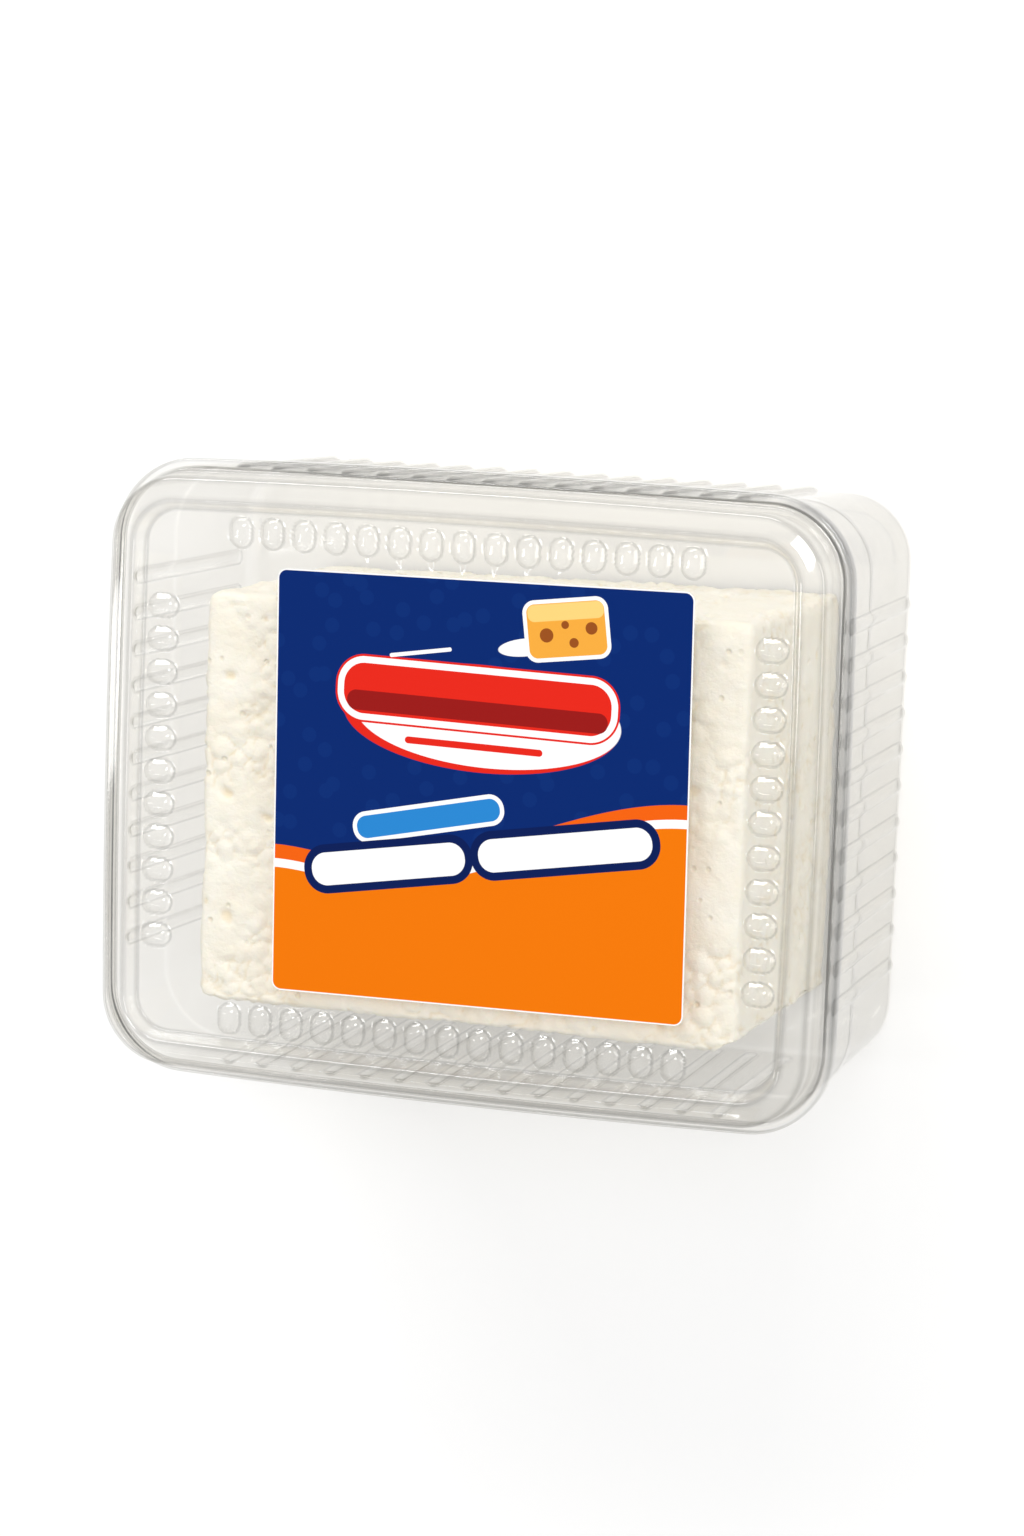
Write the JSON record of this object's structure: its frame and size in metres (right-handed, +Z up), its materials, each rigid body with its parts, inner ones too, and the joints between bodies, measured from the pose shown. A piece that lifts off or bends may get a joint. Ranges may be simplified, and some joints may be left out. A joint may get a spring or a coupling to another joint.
{
  "type": "block of white brined cheese in a clear lidded plastic pack",
  "caption": "Block of white brined cheese in a clear ribbed plastic tray with a push-fit fluted lid and a printed label.",
  "frame": {"origin": "middle of the tray's underside, on the surface that the pack lies on", "axes": "+X along the pack's long sides, +Y towards the top of the label, +Z up, from the tray to the lid"},
  "size_m": [0.1784, 0.146, 0.0836],
  "materials": {
    "clear_tray": "clear colourless formed PET sheet, glossy, with soft streaks",
    "clear_lid": "clear colourless formed PET sheet, glossy, a little wavy",
    "label_print": "glossy film label with plain printed fields in dark blue, orange and white",
    "cheese": "moist ivory-white brined cheese, matt, lumpy, with small pits and cracks"
  },
  "bodies": {
    "root": {"tray": "clear_tray", "lid": "clear_lid", "label": "label_print", "feta_block": "cheese"}
  },
  "joints": []
}
